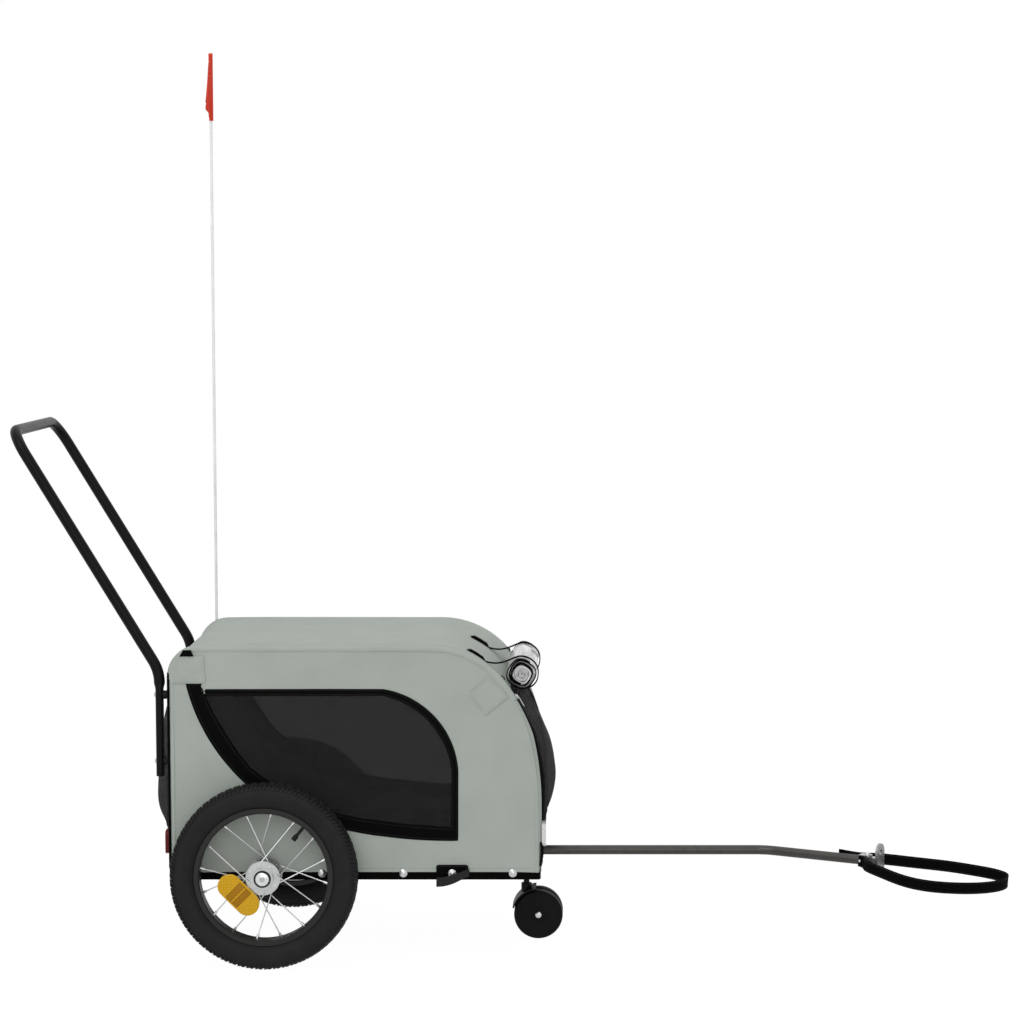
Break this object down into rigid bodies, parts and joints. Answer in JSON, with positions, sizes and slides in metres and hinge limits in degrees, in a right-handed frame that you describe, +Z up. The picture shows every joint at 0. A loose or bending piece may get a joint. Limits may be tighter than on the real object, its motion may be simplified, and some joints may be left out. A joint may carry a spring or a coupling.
{
  "type": "pet bike trailer",
  "caption": "Two-wheel pet trailer with a fabric and net cabin on a steel frame, a push handle, a safety flag, a front caster and a bent drawbar with a swivelling axle hitch.",
  "frame": {"origin": "on the ground, under the middle of the whole trailer's length and width", "axes": "+X is the direction of travel (the drawbar end), +Y is the trailer's left side, +Z is up"},
  "size_m": [1.6352, 0.534, 1.51],
  "materials": {
    "tyre_rubber": "matt, with a blocky tread",
    "tube_rubber": "matt",
    "rim_paint": "satin black",
    "hub_chrome": "bright",
    "spoke_steel": "zinc plated",
    "amber_reflector": "clear amber with a prism pattern",
    "button_steel": "bright",
    "frame_paint": "satin black powder coat",
    "zinc_steel": "zinc plated",
    "bearing_steel": "ground steel",
    "floor_board": "thin board under black cloth",
    "pad_fabric": "quilted cloth over foam",
    "bolt_steel": "bright zinc",
    "spacer_plastic": "matt",
    "binding_fabric": "black woven tape and cloth",
    "cabin_fabric": "woven coated cloth, grey green",
    "window_net": "fine black net",
    "white_reflector": "clear with a prism pattern",
    "red_reflector": "clear red with a prism pattern",
    "clear_sheet": "clear soft sheet",
    "holder_plastic": "matt",
    "pole_glassfibre": "white glass fibre rod",
    "flag_fabric": "bright orange red cloth",
    "drawbar_paint": "satin dark grey",
    "strap_webbing": "black webbing",
    "caster_plastic": "moulded black",
    "caster_tread": "moulded black"
  },
  "bodies": {
    "chassis": {"right_side_rail": "frame_paint", "right_side_panel": "cabin_fabric", "right_window_mesh": "window_net", "left_side_rail": "frame_paint", "left_side_panel": "cabin_fabric", "left_window_mesh": "window_net", "wheel_axles": "zinc_steel", "hub_bearings": "bearing_steel", "cross_tubes": "frame_paint", "axle_tube": "frame_paint", "cabin_hoops": "frame_paint", "handle_tube": "frame_paint", "floor_board": "floor_board", "floor_pad": "pad_fabric", "handle_bolts": "bolt_steel", "rail_screws": "bolt_steel", "handle_spacers": "spacer_plastic", "window_bindings": "binding_fabric", "front_panel": "binding_fabric", "rear_panel": "binding_fabric", "webbing_tabs": "binding_fabric", "rain_cover_ties": "binding_fabric", "roof_panel": "cabin_fabric", "fabric_patches": "cabin_fabric", "front_reflectors": "white_reflector", "rear_reflectors": "red_reflector", "rain_cover_roll": "clear_sheet", "flag_holder": "holder_plastic", "flag_pole": "pole_glassfibre", "flag": "flag_fabric", "drawbar_receiver": "frame_paint", "caster_bracket": "frame_paint", "drawbar": "drawbar_paint", "hitch_yoke": "zinc_steel", "hitch_yaw_pin": "zinc_steel", "strap_rivets": "zinc_steel", "safety_strap": "strap_webbing"},
    "right_wheel": {"right_tyre": "tyre_rubber", "right_inner_tube": "tube_rubber", "right_rim": "rim_paint", "right_hub": "hub_chrome", "right_spokes": "spoke_steel", "right_wheel_reflector": "amber_reflector"},
    "right_release_button": {"right_release_button": "button_steel"},
    "left_wheel": {"left_tyre": "tyre_rubber", "left_inner_tube": "tube_rubber", "left_rim": "rim_paint", "left_hub": "hub_chrome", "left_spokes": "spoke_steel", "left_wheel_reflector": "amber_reflector"},
    "left_release_button": {"left_release_button": "button_steel"},
    "front_door": {"front_door": "window_net"},
    "rear_door": {"rear_door": "window_net"},
    "lock_pin": {"drawbar_lock_pin": "zinc_steel"},
    "hitch_swivel": {"hitch_swivel": "zinc_steel", "hitch_pitch_pin": "zinc_steel"},
    "hitch_plate": {"hitch_plate": "zinc_steel"},
    "caster_swivel": {"caster_housing": "caster_plastic", "caster_axle_bolt": "bolt_steel"},
    "caster_wheels": {"caster_wheels": "caster_tread"}
  },
  "joints": [
    {"name": "right_wheel_spin", "type": "hinge", "parent": "chassis", "child": "right_wheel", "pos_m": [-0.40158, -0.235, 0.1525], "axis": [0, 1, 0], "continuous": true},
    {"name": "left_wheel_spin", "type": "hinge", "parent": "chassis", "child": "left_wheel", "pos_m": [-0.40158, 0.235, 0.1525], "axis": [0, 1, 0], "continuous": true},
    {"name": "right_button_press", "type": "slide", "parent": "chassis", "child": "right_release_button", "axis": [0, 1, 0], "range_m": [0, 0.002], "stiffness_N_per_m": 600},
    {"name": "left_button_press", "type": "slide", "parent": "chassis", "child": "left_release_button", "axis": [0, -1, 0], "range_m": [0, 0.002], "stiffness_N_per_m": 600},
    {"name": "front_door_fold", "type": "hinge", "parent": "chassis", "child": "front_door", "pos_m": [0.04902, 0, 0.203], "axis": [0, 1, 0], "range_deg": [0, 90]},
    {"name": "rear_door_fold", "type": "hinge", "parent": "chassis", "child": "rear_door", "pos_m": [-0.56018, 0, 0.192], "axis": [0, -1, 0], "range_deg": [0, 90]},
    {"name": "lock_pin_pull", "type": "slide", "parent": "chassis", "child": "lock_pin", "axis": [0, -1, 0], "range_m": [0, 0.025]},
    {"name": "hitch_yaw", "type": "hinge", "parent": "chassis", "child": "hitch_swivel", "pos_m": [0.59277, -0.09241, 0.149], "axis": [0, 0, 1], "range_deg": [-35, 35]},
    {"name": "hitch_pitch", "type": "hinge", "parent": "hitch_swivel", "child": "hitch_plate", "pos_m": [0.60368, -0.09851, 0.149], "axis": [0.4879, 0.8729, 0], "range_deg": [-25, 25]},
    {"name": "caster_turn", "type": "hinge", "parent": "chassis", "child": "caster_swivel", "pos_m": [0.01992, 0, 0.1], "axis": [0, 0, 1], "continuous": true},
    {"name": "caster_roll", "type": "hinge", "parent": "caster_swivel", "child": "caster_wheels", "pos_m": [0.04042, 0, 0.0415], "axis": [0, 1, 0], "continuous": true}
  ]
}
